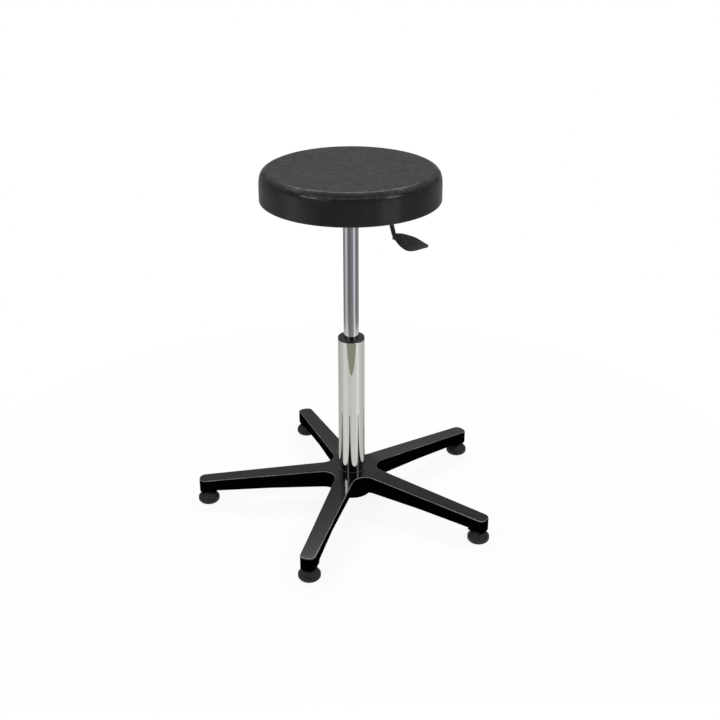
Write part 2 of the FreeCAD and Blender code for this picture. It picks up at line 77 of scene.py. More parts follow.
def top_height(r):
    """Height of the moulding's top surface at one radius, in millimetres."""
    if r < shoulder_from:
        return HUB_TOP
    if r < shoulder_to:
        over = r - shoulder_from
        return HUB_TOP - SHOULDER + math.sqrt(SHOULDER * SHOULDER - over * over)
    return TIP_TOP + fall * (ARM_END - r)


def arc(centre, radius, a, b, steps):
    """Points on an arc from angle a to angle b."""
    return [
        (
            centre[0] + radius * math.cos(a + (b - a) * i / steps),
            centre[1] + radius * math.sin(a + (b - a) * i / steps),
        )
        for i in range(steps + 1)
    ]


def half_outline(inset):
    """Right half of one arm's outline in plan, from the tip's middle to the crotch."""
    spread = DRAFT * (HUB_TOP - TIP_TOP)
    tip_half = TIP_HALF + spread - inset
    lean = (ROOT_HALF - TIP_HALF - spread) / (ARM_END - ARM_ROOT)
    end = ARM_END + spread - inset
    end_half = tip_half - lean * (end - ARM_END)
    turn = math.pi / ARMS
    reach = tip_half + lean * ARM_END
    crotch = reach / (math.sin(turn) + lean * math.cos(turn))
    corner = TIP_CORNER + spread - inset
    crotch_r = CROTCH + inset
    tilt = math.atan(lean)
    # rounded corner at the tip
    back = corner * math.tan((math.pi / 2 - tilt) / 2)
    centre = (end_half - back, -end + corner)
    points = [(centre[0] * i / END_STEPS, -end) for i in range(END_STEPS)]
    points += arc(centre, corner, -math.pi / 2, -tilt, CORNER_STEPS)
    # rounded crotch between two arms
    middle = -math.pi / 2 + turn
    angle = math.pi / 2 - turn - tilt
    away = crotch + crotch_r / math.cos(angle)
    centre = (away * math.cos(middle), away * math.sin(middle))
    bend = arc(centre, crotch_r, math.pi - tilt, middle + math.pi, CORNER_STEPS)
    start, stop = points[-1], bend[0]
    for i in range(1, SIDE_STEPS):
        share = i / SIDE_STEPS
        x = start[0] + (stop[0] - start[0]) * share
        y = start[1] + (stop[1] - start[1]) * share
        points.append((x, y))
    return points + bend


def whole_outline(inset_of):
    """One arm's whole outline from crotch to crotch. inset_of gives each point's inset."""
    count = len(half_outline(0.0))
    cache = {}
    right = []
    for i in range(count):
        inset = inset_of(i)
        key = round(inset, 4)
        if key not in cache:
            cache[key] = half_outline(key)
        right.append(cache[key][i])
    left = [(-x, y) for x, y in reversed(right[1:])]
    return left + right


def top_edge_insets():
    """Inset of the drafted wall where it meets the top surface, for each outline point."""
    insets = []
    for i in range(len(half_outline(0.0))):
        inset = 0.0
        for _ in range(6):
            x, y = half_outline(inset)[i]
            inset = DRAFT * (HUB_TOP - top_height(math.hypot(x, y)))
        insets.append(inset)
    return insets


edge_insets = top_edge_insets()
edge_points = [half_outline(edge_insets[i])[i] for i in range(len(edge_insets))]
edge_radii = [math.hypot(x, y) for x, y in edge_points]


def ring_of(inward, drop, down_to=None):
    """One closed row of the arm's skin: moved in from the top edge, and lowered."""
    def inset_of(i):
        drafted = min(1.0, max(0.0, (FOOT_START - edge_radii[i]) / FOOT_FADE))
        low = drop if down_to is None else top_height(edge_radii[i]) - down_to
        return edge_insets[i] + inward + DRAFT * drafted * low

    row = []
    for x, y in whole_outline(inset_of):
        z = top_height(math.hypot(x, y)) - drop if down_to is None else down_to
        row.append((x, y, z))
    return row


def inner_ring(r, z, count):
    """One row round the bore, spread evenly over the arm's share of the turn."""
    turn = math.pi / ARMS
    angles = [-math.pi / 2 - turn + 2 * turn * i / (count - 1) for i in range(count)]
    return [(r * math.cos(a), r * math.sin(a), z) for a in angles]


def between(inner, outer, share, z=None):
    """Row part of the way from the bore to the outline, laid on the top surface."""
    row = []
    for (ax, ay, _), (bx, by, _) in zip(inner, outer):
        x, y = ax + (bx - ax) * share, ay + (by - ay) * share
        row.append((x, y, top_height(math.hypot(x, y)) if z is None else z))
    return row


def mesh_of(name, verts, faces):
    """Mesh object from millimetre points, with its faces turned outwards."""
    mesh = bpy.data.meshes.new(name)
    mesh.from_pydata([[c * MM for c in v] for v in verts], [], faces)
    work = bmesh.new()
    work.from_mesh(mesh)
    bmesh.ops.remove_doubles(work, verts=work.verts, dist=WELD)
    bmesh.ops.recalc_face_normals(work, faces=work.faces)
    work.to_mesh(mesh)
    work.free()
    piece = bpy.data.objects.new(name, mesh)
    bpy.context.scene.collection.objects.link(piece)
    return piece


def woven(rows, closed_rows=False, closed_across=False):
    """Vertices and quads of a grid given as rows of points."""
    verts = [v for row in rows for v in row]
    width = len(rows[0])
    faces = []
    for j in range(len(rows) - (0 if closed_rows else 1)):
        k = (j + 1) % len(rows)
        for i in range(width - (0 if closed_across else 1)):
            n = (i + 1) % width
            faces.append((j * width + i, j * width + n, k * width + n, k * width + i))
    return verts, faces


def turned(name, corners, steps=96):
    """Turned solid or ring about Z from profile points (r, z) in millimetres."""
    rows = []
    for r, z in corners:
        angles = [2 * math.pi * i / steps for i in range(steps)]
        rows.append([(r * math.cos(a), r * math.sin(a), z) for a in angles])
    solid = corners[0][0] == 0 and corners[-1][0] == 0
    verts, faces = woven(rows, closed_rows=not solid, closed_across=True)
    return mesh_of(name, verts, faces)


def round_the_column():
    """Geometry Nodes tree that repeats a piece round the column's axis."""
    tree = bpy.data.node_groups.new("round the column", "GeometryNodeTree")
    face = tree.interface
    face.new_socket("Piece", in_out="INPUT", socket_type="NodeSocketGeometry")
    face.new_socket("Count", in_out="INPUT", socket_type="NodeSocketInt")
    face.new_socket("Finish", in_out="INPUT", socket_type="NodeSocketMaterial")
    face.new_socket("Pieces", in_out="OUTPUT", socket_type="NodeSocketGeometry")
    add, link = tree.nodes.new, tree.links.new
    start, end = add("NodeGroupInput"), add("NodeGroupOutput")
    points, index = add("GeometryNodeMeshLine"), add("GeometryNodeInputIndex")
    step, angle, turn = add("ShaderNodeMath"), add("ShaderNodeMath"), add("ShaderNodeCombineXYZ")
    repeat, real = add("GeometryNodeInstanceOnPoints"), add("GeometryNodeRealizeInstances")
    weld, paint = add("GeometryNodeMergeByDistance"), add("GeometryNodeSetMaterial")
    points.inputs["Offset"].default_value = (0.0, 0.0, 0.0)
    step.operation, angle.operation = "DIVIDE", "MULTIPLY"
    step.inputs[0].default_value = 2 * math.pi
    weld.inputs["Distance"].default_value = WELD
    link(start.outputs["Count"], points.inputs["Count"])
    link(start.outputs["Count"], step.inputs[1])
    link(index.outputs[0], angle.inputs[0])
    link(step.outputs[0], angle.inputs[1])
    link(angle.outputs[0], turn.inputs["Z"])
    link(points.outputs[0], repeat.inputs["Points"])
    link(start.outputs["Piece"], repeat.inputs["Instance"])
    link(turn.outputs[0], repeat.inputs["Rotation"])
    link(repeat.outputs[0], real.inputs[0])
    link(real.outputs[0], weld.inputs["Geometry"])
    link(weld.outputs[0], paint.inputs["Geometry"])
    link(start.outputs["Finish"], paint.inputs["Material"])
    link(paint.outputs[0], end.inputs[0])
    return tree


around = round_the_column()


def repeated(one, name, finish=None):
    """Plain mesh piece made of one arm's piece, repeated for every arm."""
    kit = one.modifiers.new("round the column", "NODES")
    kit.node_group = around
    values = {"Count": ARMS, "Finish": finish}
    for item in around.interface.items_tree:
        if item.name in values and values[item.name] is not None:
            kit[item.identifier] = values[item.name]
    bpy.context.view_layer.update()
    graph = bpy.context.evaluated_depsgraph_get()
    mesh = bpy.data.meshes.new_from_object(one.evaluated_get(graph))
    mesh.name = name
    bpy.data.objects.remove(one)
    piece = bpy.data.objects.new(name, mesh)
    bpy.context.scene.collection.objects.link(piece)
    return piece


def carved(piece, tools, operation):
    """Cut tools from a piece, or weld them on, and drop the tools."""
    for tool in tools:
        step = piece.modifiers.new("carve", "BOOLEAN")
        step.operation, step.solver, step.object = operation, "MANIFOLD", tool
    bpy.context.view_layer.update()
    graph = bpy.context.evaluated_depsgraph_get()
    mesh = bpy.data.meshes.new_from_object(piece.evaluated_get(graph))
    piece.modifiers.clear()
    piece.data = mesh
    for tool in tools:
        bpy.data.objects.remove(tool)
    return piece


def shaded(piece, degrees=32.0):
    """Smooth shading that stays sharp at edges over one angle."""
    work = bmesh.new()
    work.from_mesh(piece.data)
    for face in work.faces:
        face.smooth = True
    limit = math.radians(degrees)
    for edge in work.edges:
        edge.smooth = not edge.is_manifold or edge.calc_face_angle(0.0) < limit
    work.to_mesh(piece.data)
    work.free()
    return piece


def shade_group(name, outputs):
    """Shader group that reads a position, with the outputs of one surface effect."""
    tree = bpy.data.node_groups.new(name, "ShaderNodeTree")
    tree.interface.new_socket("Position", in_out="INPUT", socket_type="NodeSocketVector")
    for label, kind in outputs:
        tree.interface.new_socket(label, in_out="OUTPUT", socket_type=kind)
    return tree


def add_input(tree, label, value):
    """Named number input of a shader group, with its usual value."""
    socket = tree.interface.new_socket(label, in_out="INPUT", socket_type="NodeSocketFloat")
    socket.default_value = value


def mould_texture_group():
    """Fine mould texture: height and a slow change of gloss."""
    tree = shade_group("mould texture", [("Height", "NodeSocketFloat"), ("Patches", "NodeSocketFloat")])
    add_input(tree, "Cells per metre", 2200.0)
    add_input(tree, "Patch scale", 14.0)
    add, link = tree.nodes.new, tree.links.new
    start, end = add("NodeGroupInput"), add("NodeGroupOutput")
    fine, slow, spread = add("ShaderNodeTexNoise"), add("ShaderNodeTexNoise"), add("ShaderNodeMapRange")
    fine.inputs["Detail"].default_value = 3.0
    slow.inputs["Detail"].default_value = 4.0
    spread.inputs["From Min"].default_value = 0.35
    spread.inputs["From Max"].default_value = 0.65
    link(start.outputs["Position"], fine.inputs["Vector"])
    link(start.outputs["Position"], slow.inputs["Vector"])
    link(start.outputs["Cells per metre"], fine.inputs["Scale"])
    link(start.outputs["Patch scale"], slow.inputs["Scale"])
    link(slow.outputs[0], spread.inputs["Value"])
    link(fine.outputs[0], end.inputs["Height"])
    link(spread.outputs[0], end.inputs["Patches"])
    return tree


mould_texture = mould_texture_group()


def material(name, color, rough, metal=0.0, spec=0.5):
    """Principled material with its even values set on the shader's own sockets."""
    made = bpy.data.materials.new(name)
    made.use_nodes = True
    shader = made.node_tree.nodes["Principled BSDF"]
    shader.inputs["Base Color"].default_value = (*color, 1.0)
    shader.inputs["Roughness"].default_value = rough
    shader.inputs["Metallic"].default_value = metal
    shader.inputs["Specular IOR Level"].default_value = spec
    return made, made.node_tree, shader


def placed(tree, group):
    """Group node that reads the piece's own coordinates."""
    where = tree.nodes.new("ShaderNodeTexCoord")
    effect = tree.nodes.new("ShaderNodeGroup")
    effect.node_tree = group
    tree.links.new(where.outputs["Object"], effect.inputs["Position"])
    return effect


def spread_to(tree, value, low, high, target):
    """Feed a 0 to 1 value into a socket as low to high."""
    ramp = tree.nodes.new("ShaderNodeMapRange")
    ramp.inputs["To Min"].default_value = low
    ramp.inputs["To Max"].default_value = high
    tree.links.new(value, ramp.inputs["Value"])
    tree.links.new(ramp.outputs[0], target)


def bumped(tree, height, shader, strength, depth):
    """Bump from a height, in metres of depth."""
    bump = tree.nodes.new("ShaderNodeBump")
    bump.inputs["Strength"].default_value = strength
    bump.inputs["Distance"].default_value = depth
    tree.links.new(height, bump.inputs["Height"])
    tree.links.new(bump.outputs[0], shader.inputs["Normal"])


def mixed(tree, share, low, high):
    """Colour that goes from low to high; each is a colour or another node's output."""
    mix = tree.nodes.new("ShaderNodeMix")
    mix.data_type = "RGBA"
    tree.links.new(share, mix.inputs["Factor"])
    for label, value in (("A", low), ("B", high)):
        if isinstance(value, tuple):
            mix.inputs[label].default_value = (*value, 1.0)
        else:
            tree.links.new(value, mix.inputs[label])
    return mix.outputs["Result"]


def mottled(tree, color, patch, low, high):
    """Colour that changes in small soft patches round one colour."""
    effect = placed(tree, mould_texture)
    effect.inputs["Patch scale"].default_value = patch
    dark, pale = tuple(c * low for c in color), tuple(c * high for c in color)
    return mixed(tree, effect.outputs["Patches"], dark, pale)


def moulded(name, color, rough, spec, cells, strength, depth, tones=None):
    """Moulded plastic: fine texture, and gloss that changes slowly over the surface."""
    made, tree, shader = material(name, color, rough, spec=spec)
    if tones:
        tree.links.new(mottled(tree, color, *tones), shader.inputs["Base Color"])
    effect = placed(tree, mould_texture)
    effect.inputs["Cells per metre"].default_value = cells
    spread_to(tree, effect.outputs["Patches"], rough - 0.04, rough + 0.06, shader.inputs["Roughness"])
    bumped(tree, effect.outputs["Height"], shader, strength, depth)
    return made


def facing_group():
    """Masks by which way the skin faces: flat tops, and an uneven band on the rounded edges beside them
    where a painted highlight goes.
    """
    tree = bpy.data.node_groups.new("tops and edges", "ShaderNodeTree")
    tree.interface.new_socket("Normal", in_out="INPUT", socket_type="NodeSocketVector")
    tree.interface.new_socket("Patches", in_out="INPUT", socket_type="NodeSocketFloat")
    tree.interface.new_socket("Top", in_out="OUTPUT", socket_type="NodeSocketFloat")
    tree.interface.new_socket("Edge", in_out="OUTPUT", socket_type="NodeSocketFloat")
    add, link = tree.nodes.new, tree.links.new
    start, end, split = add("NodeGroupInput"), add("NodeGroupOutput"), add("ShaderNodeSeparateXYZ")
    top, rise, fall_off = add("ShaderNodeMapRange"), add("ShaderNodeMapRange"), add("ShaderNodeMapRange")
    band, painted_highlight, uneven = add("ShaderNodeMath"), add("ShaderNodeMath"), add("ShaderNodeMapRange")
    top.inputs["From Min"].default_value = 0.80
    top.inputs["From Max"].default_value = 0.985
    rise.inputs["From Min"].default_value = 0.30
    rise.inputs["From Max"].default_value = 0.62
    fall_off.inputs["From Min"].default_value = 0.90
    fall_off.inputs["From Max"].default_value = 0.99
    fall_off.inputs["To Min"].default_value = 1.0
    fall_off.inputs["To Max"].default_value = 0.0
    uneven.inputs["To Min"].default_value = 0.35
    # the Edge output is the mask of a painted highlight: a band on the rounded edges, made uneven by the
    # patches
    band.operation = painted_highlight.operation = "MULTIPLY"
    link(start.outputs["Normal"], split.inputs[0])
    for ramp in (top, rise, fall_off):
        link(split.outputs["Z"], ramp.inputs["Value"])
    link(start.outputs["Patches"], uneven.inputs["Value"])
    link(rise.outputs[0], band.inputs[0])
    link(fall_off.outputs[0], band.inputs[1])
    link(band.outputs[0], painted_highlight.inputs[0])
    link(uneven.outputs[0], painted_highlight.inputs[1])
    link(top.outputs[0], end.inputs["Top"])
    link(painted_highlight.outputs[0], end.inputs["Edge"])
    return tree


tops_and_edges = facing_group()


def faced(tree, effect):
    """Group node with the masks for tops and edges."""
    where = tree.nodes.new("ShaderNodeTexCoord")
    masks = tree.nodes.new("ShaderNodeGroup")
    masks.node_tree = tops_and_edges
    tree.links.new(where.outputs["Normal"], masks.inputs["Normal"])
    tree.links.new(effect.outputs["Patches"], masks.inputs["Patches"])
    return masks


def nylon():
    """Glass-filled nylon: dull drafted sides, satin tops, painted shade that keeps the sides darker than
    the tops, and a painted highlight on the rounded edges.
    """
    made, tree, shader = material("black nylon", (0.002, 0.002, 0.002), 0.5, spec=0.0)
    effect = placed(tree, mould_texture)
    effect.inputs["Cells per metre"].default_value = 1300.0
    effect.inputs["Patch scale"].default_value = 30.0
    masks = faced(tree, effect)
    # painted light and shade: faces that point up are coloured paler than the drafted sides
    flat = mixed(tree, masks.outputs["Top"], (0.0014, 0.0012, 0.0013), (0.0032, 0.0028, 0.0030))
    # painted highlight: the rounded top edges are coloured pale
    color = mixed(tree, masks.outputs["Edge"], flat, (0.36, 0.355, 0.36))
    tree.links.new(color, shader.inputs["Base Color"])
    tree.links.new(masks.outputs["Top"], shader.inputs["Coat Weight"])
    shader.inputs["Coat Roughness"].default_value = 0.07
    shader.inputs["Coat IOR"].default_value = 1.72
    spread_to(tree, effect.outputs["Patches"], 0.46, 0.56, shader.inputs["Roughness"])
    bumped(tree, effect.outputs["Height"], shader, 0.25, 0.0001)
    return made


black_nylon = nylon()

CORE_R = 22.0
WALL = EDGE + 0.6

TOP_ROWS = 22
EDGE_ROWS = 5
LOW_ROWS = 6

flat_edge = ring_of(WALL, 0.0)
core = inner_ring(CORE_R, HUB_TOP, len(flat_edge))
rows = [core]
for i in range(1, TOP_ROWS):
    rows.append(between(core, flat_edge, i / TOP_ROWS))
rows.append(flat_edge)
for i in range(EDGE_ROWS + 1):
    lean = math.radians(90 / EDGE_ROWS * i)
    rows.append(ring_of(EDGE * (1 - math.sin(lean)), EDGE * (1 - math.cos(lean))))
rows.append(ring_of(0.0, WALL))
rows.append(ring_of(0.0, EDGE + 6.0))
rows.append(ring_of(0.0, 0.0, ARM_BOTTOM + LOW_EDGE))
rows.append(ring_of(LOW_EDGE / 3, 0.0, ARM_BOTTOM + LOW_EDGE / 3))
low_edge = ring_of(LOW_EDGE, 0.0, ARM_BOTTOM)
rows.append(low_edge)
low_core = inner_ring(CORE_R, ARM_BOTTOM, len(low_edge))
for i in range(1, LOW_ROWS):
    rows.append(between(low_core, low_edge, 1 - i / LOW_ROWS, ARM_BOTTOM))
rows.append(low_core)
verts, faces = woven(rows, closed_rows=True)
arm = mesh_of("arm", verts, faces)
star = repeated(arm, "star_base", black_nylon)

POCKET_START = 46.0
POCKET_END = 254.0
POCKET_HALF = 5.6
POCKET_CORNER = 2.0
POCKET_LOW = 5.0
SKIN = 4.5
RIB = 3.0
RIB_COUNT = 4


def pocket_cutter(start, stop):
    """Cutter for one pocket under an arm, with its roof parallel to the arm's top."""
    steps = 8
    ys = [start + (stop - start) * i / steps for i in range(steps + 1)]
    roof = [[(x, -y, top_height(y) - SKIN) for x in (-POCKET_HALF, POCKET_HALF)] for y in ys]
    verts = [v for row in roof for v in row]
    count = len(verts)
    verts += [(x, y, POCKET_LOW) for x, y, _ in verts]
    faces = []
    for j in range(steps):
        a, b, c, d = 2 * j, 2 * j + 1, 2 * j + 3, 2 * j + 2
        faces += [(a, b, c, d), (a + count, d + count, c + count, b + count)]
        faces += [(a, d, d + count, a + count), (b, b + count, c + count, c)]
    faces.append((0, count, count + 1, 1))
    last = 2 * steps
    faces.append((last, last + 1, last + 1 + count, last + count))
    piece = mesh_of("pocket", verts, faces)
    work = bmesh.new()
    work.from_mesh(piece.data)
    posts = []
    for edge in work.edges:
        one, other = edge.verts[0].co, edge.verts[1].co
        to_end = min(abs(abs(one.y) - start * MM), abs(abs(one.y) - stop * MM))
        if abs(one.z - other.z) > 0.01 and to_end < 1e-6:
            posts.append(edge)
    corner = POCKET_CORNER * MM
    bmesh.ops.bevel(work, geom=posts, offset=corner, segments=3, affect="EDGES", profile=0.5)
    work.to_mesh(piece.data)
    work.free()
    return piece


def joined(name, parts):
    """Several pieces as one mesh."""
    work = bmesh.new()
    for part in parts:
        work.from_mesh(part.data)
        bpy.data.objects.remove(part)
    mesh = bpy.data.meshes.new(name)
    work.to_mesh(mesh)
    work.free()
    piece = bpy.data.objects.new(name, mesh)
    bpy.context.scene.collection.objects.link(piece)
    return piece


def under_tip(piece):
    """A turned piece moved to the front glide's place."""
    piece.data.transform(Matrix.Translation((0.0, -GLIDE_CIRCLE * MM, 0.0)))
    return piece


def plug(name, radius, top, steps):
    """Round cutter that reaches up to one height under the front arm's tip."""
    return under_tip(turned(name, [(0, CUT_LOW), (radius, CUT_LOW), (radius, top), (0, top)], steps))


CUT_LOW = 10.0
SOCKET_R = 5.5
SOCKET_TOP = 46.0
SKIRT_TOP = 34.0
SKIRT_LOW = 24.5
SKIRT_START = 264.5
SKIRT_GAP = 0.04
RECESS_R = 12.0
BOSS_R = 39.0
BOSS_LOW = 18.0
BOSS_TOP = 45.0
BORE_GAP = 0.03
CHAMFER = 0.8

pitch = (POCKET_END - POCKET_START + RIB) / RIB_COUNT
starts = [POCKET_START + j * pitch for j in range(RIB_COUNT)]
pocket_set = joined("pockets", [pocket_cutter(start, start + pitch - RIB) for start in starts])
pockets = repeated(pocket_set, "pockets")
sockets = repeated(plug("socket", SOCKET_R, SOCKET_TOP, 32), "sockets")


def skirt_row(inward, z):
    """One row of the skirt: the tip's own outline, closed across the hub's side."""
    wall = [(x, y) for x, y, _ in ring_of(inward, 0.0, SKIRT_TOP) if -y > SKIRT_START + 3]
    side, start = wall[-1][0], SKIRT_START + inward
    ends = [(side, -start - 2.0), (side - 0.6, -start - 0.6), (side - 2.0, -start)]
    near = [(-x, y) for x, y in reversed(ends)]
    return [(x, y, z) for x, y in near + wall + ends]


rows = [skirt_row(SKIRT_GAP, z) for z in (SKIRT_TOP, ARM_BOTTOM, SKIRT_LOW + 0.8)]
rows += [skirt_row(LOW_EDGE / 3, SKIRT_LOW + 0.25), skirt_row(LOW_EDGE, SKIRT_LOW)]
verts, faces = woven(rows, closed_across=True)
n = len(rows[0])
faces += [tuple(range(n)), tuple(range(len(verts) - n, len(verts)))]
skirt = mesh_of("skirt", verts, faces)
skirt = carved(skirt, [plug("recess", RECESS_R, ARM_BOTTOM + 0.3, 64)], "DIFFERENCE")
skirts = repeated(skirt, "skirts")
boss_profile = [
    (0, BOSS_LOW),
    (BOSS_R - 2.5, BOSS_LOW),
    (BOSS_R - 1.6, BOSS_LOW + 0.3),
    (BOSS_R - 1.1, BOSS_LOW + 1.2),
    (BOSS_R, BOSS_TOP),
    (0, BOSS_TOP),
]
star = carved(star, [turned("boss", boss_profile, 128), skirts], "UNION")
bore_profile = [
    (0, CUT_LOW),
    (TUBE_R - TAPER * (HUB_TOP - CUT_LOW) + BORE_GAP, CUT_LOW),
    (TUBE_R - TAPER * (CHAMFER - 0.1) + BORE_GAP, HUB_TOP - CHAMFER + 0.1),
    (TUBE_R + CHAMFER, HUB_TOP + 0.1),
    (TUBE_R + CHAMFER, HUB_TOP + 7),
    (0, HUB_TOP + 7),
]
star = carved(star, [turned("bore", bore_profile, 128), pockets, sockets], "DIFFERENCE")
shaded(star)
star.data.materials.clear()
star.data.materials.append(black_nylon)
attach(star, "base")
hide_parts("base_star")

# Column. A chromed steel outer tube swaged into the hub's taper, and a chromed gas
# cylinder that slides in a black acetal bush at the tube's rim.


def polish_group():
    """Plated steel: hairline draw marks along the tube, and faint smudges."""
    tree = shade_group("polish marks", [("Height", "NodeSocketFloat"), ("Smudge", "NodeSocketFloat")])
    add_input(tree, "Lines per metre", 900.0)
    add_input(tree, "Stretch", 0.02)
    add, link = tree.nodes.new, tree.links.new
    start, end = add("NodeGroupInput"), add("NodeGroupOutput")
    squeeze, scale = add("ShaderNodeVectorMath"), add("ShaderNodeCombineXYZ")
    lines, smudge = add("ShaderNodeTexNoise"), add("ShaderNodeTexNoise")
    spread = add("ShaderNodeMapRange")
    squeeze.operation = "MULTIPLY"
    scale.inputs["X"].default_value = 1.0
    scale.inputs["Y"].default_value = 1.0
    smudge.inputs["Scale"].default_value = 18.0
    smudge.inputs["Detail"].default_value = 6.0
    smudge.inputs["Roughness"].default_value = 0.65
    lines.inputs["Detail"].default_value = 2.0
    spread.inputs["From Min"].default_value = 0.45
    spread.inputs["From Max"].default_value = 0.7
    link(start.outputs["Stretch"], scale.inputs["Z"])
    link(start.outputs["Position"], squeeze.inputs[0])
    link(scale.outputs[0], squeeze.inputs[1])
    link(squeeze.outputs[0], lines.inputs["Vector"])
    link(start.outputs["Lines per metre"], lines.inputs["Scale"])
    link(start.outputs["Position"], smudge.inputs["Vector"])
    link(smudge.outputs[0], spread.inputs["Value"])
    link(lines.outputs[0], end.inputs["Height"])
    link(spread.outputs[0], end.inputs["Smudge"])
    return tree


polish_marks = polish_group()


def plated(name, color, rough, smudged, strength, depth, lines=900.0, stretch=0.02):
    """Plated steel with draw marks and faint smudges."""
    made, tree, shader = material(name, color, rough, metal=1.0)
    effect = placed(tree, polish_marks)
    effect.inputs["Lines per metre"].default_value = lines
    effect.inputs["Stretch"].default_value = stretch
    spread_to(tree, effect.outputs["Smudge"], rough, smudged, shader.inputs["Roughness"])
    bumped(tree, effect.outputs["Height"], shader, strength, depth)
    return made


def dress(finish, *names):
    """Give CAD nodes their finish."""
    for name in names:
        piece = nodes[name]
        if not piece.material_slots:
            piece.data.materials.append(finish)
        for place in piece.material_slots:
            place.material = finish


chrome = plated("bright chrome", (0.60, 0.595, 0.575), 0.015, 0.04, 0.02, 0.00001)
cylinder_chrome = plated("cylinder chrome", (0.60, 0.59, 0.61), 0.11, 0.16, 0.12, 0.00003)
black_acetal = moulded("black acetal", (0.008, 0.008, 0.0085), 0.18, 0.5, 1200.0, 0.05, 0.00003)
zinc = plated("zinc plating", (0.55, 0.56, 0.60), 0.28, 0.4, 0.2, 0.00003, 300.0, 1.0)
aluminium = plated("turned aluminium", (0.72, 0.72, 0.74), 0.25, 0.34, 0.25, 0.00003, 600.0, 30.0)
rubber = moulded("black rubber", (0.012, 0.012, 0.012), 0.7, 0.3, 1400.0, 0.3, 0.0001)

dress(chrome, "column_tube", "piston_rod")
dress(cylinder_chrome, "gas_cylinder")
dress(black_acetal, "guide_bush", "rod_guide", "bearing_cage")
dress(zinc, "tube_cup", "lower_race", "upper_race", "bearing_balls", "rod_clip", "release_pin")
dress(aluminium, "piston", "valve_body")
dress(rubber, "bumper", "rod_seal", "piston_ring")

# Glides. Five black polyethylene feet, each pushed up into its arm on a zinc-plated
# steel stem that a sprung grip ring holds.

black_glide = moulded(
    "black glide", (0.019, 0.0187, 0.0185), 0.55, 0.3, 900.0, 0.25, 0.00012, tones=(330.0, 0.45, 1.8)
)


def curved(points, radii, steps=5):
    """Profile corners (r, z) rounded by the given radii."""
    out = []
    for i, (x, y) in enumerate(points):
        radius = radii[i]
        if not radius:
            out.append((x, y))
            continue
        a = Vector(points[i - 1]) - Vector((x, y))
        b = Vector(points[i + 1]) - Vector((x, y))
        half = a.angle(b) / 2
        a.normalize()
        b.normalize()
        back = radius / math.tan(half)
        centre = Vector((x, y)) + (a + b).normalized() * (radius / math.sin(half))
        first = Vector((x, y)) + a * back - centre
        last = Vector((x, y)) + b * back - centre
        for k in range(steps + 1):
            p = centre + first.slerp(last, k / steps).normalized() * radius
            out.append((p.x, p.y))
    return out


GLIDE_R = 20.3
SOLE_R = 17.0
HOLLOW_R = 9.0
HOLLOW = 0.6
BAND_LOW = 4.0
BAND_TOP = 10.5
DOME_R = 14.0
DOME_TOP = 19.0
NECK_R = 11.0
NECK_LOW = 20.5
NECK_TOP = 28.6

glide_corners = [
    (0, HOLLOW),
    (HOLLOW_R, HOLLOW),
    (HOLLOW_R + HOLLOW, 0),
    (SOLE_R, 0),
    (GLIDE_R, BAND_LOW),
    (GLIDE_R, BAND_TOP),
    (DOME_R, DOME_TOP),
    (NECK_R, NECK_LOW),
    (NECK_R, NECK_TOP),
    (0, NECK_TOP),
]


def numbered(stem, count):
    """Names of like nodes, counted from 1."""
    return [f"{stem}_{i}" for i in range(1, count + 1)]


glide = under_tip(turned("glide", curved(glide_corners, [0, 0, 0, 3, 3, 3, 4, 0.6, 0.8, 0]), 72))
glides = repeated(glide, "glide_feet", black_glide)
shaded(glides)
glides.data.materials.clear()
glides.data.materials.append(black_glide)
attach(glides, "base")
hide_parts(*numbered("glide_pad", ARMS))
dress(zinc, *numbered("glide_stem", ARMS), *numbered("grip_ring", ARMS))

# Under the seat. A flat pressed plate with the lever's housing and the cone socket
# welded on, powder-coated black, and held by four zinc-plated socket screws.

BOLTS = 4

powder_coat = moulded("black powder coat", (0.012, 0.012, 0.013), 0.42, 0.45, 700.0, 0.35, 0.0002)
dress(powder_coat, "seat_plate", "lever_housing", "cone_socket")
dress(zinc, *numbered("seat_bolt", BOLTS), *numbered("bolt_washer", BOLTS), *numbered("tee_nut", BOLTS))
dress(zinc, "pivot_pin", "pivot_clip_1", "pivot_clip_2")

# Seat board. Twelve millimetres of birch plywood that the foam is moulded onto; only
# its underside shows, inside the foam's rim.


def birch():
    """Rotary-cut birch veneer on the faces, and thin plies on the edge."""
    made, tree, shader = material("birch plywood", (0.55, 0.40, 0.25), 0.6, spec=0.3)
    add, link = tree.nodes.new, tree.links.new
    where, stretch = add("ShaderNodeTexCoord"), add("ShaderNodeMapping")
    figure, tone = add("ShaderNodeTexNoise"), add("ShaderNodeValToRGB")
    stretch.inputs["Scale"].default_value = (6.0, 90.0, 700.0)
    figure.inputs["Scale"].default_value = 1.0
    figure.inputs["Detail"].default_value = 8.0
    figure.inputs["Distortion"].default_value = 0.6
    tone.color_ramp.elements[0].position = 0.3
    tone.color_ramp.elements[0].color = (0.42, 0.28, 0.16, 1.0)
    tone.color_ramp.elements[1].position = 0.7
    tone.color_ramp.elements[1].color = (0.66, 0.50, 0.33, 1.0)
    link(where.outputs["Object"], stretch.inputs["Vector"])
    link(stretch.outputs[0], figure.inputs["Vector"])
    link(figure.outputs[0], tone.inputs["Fac"])
    link(tone.outputs[0], shader.inputs["Base Color"])
    bumped(tree, figure.outputs[0], shader, 0.2, 0.0001)
    return made


dress(birch(), "seat_board")

# Cushion. Black polyurethane foam moulded with its own skin: a low crown, a soft
# shoulder, a side that widens slightly downwards, and a leather grain from the mould.

SEAT_R = 160.0
SEAT_TOP = 665.0
SEAT_LOW = 608.0
CROWN = 2.8
RIM_R = 2.6
BOARD_R = 148.0
BOARD_TOP = 620.0
BOARD_GAP = 0.2
BOARD_LAP = 0.3
HOLLOWS = 0.22
FOLDS = 0.28


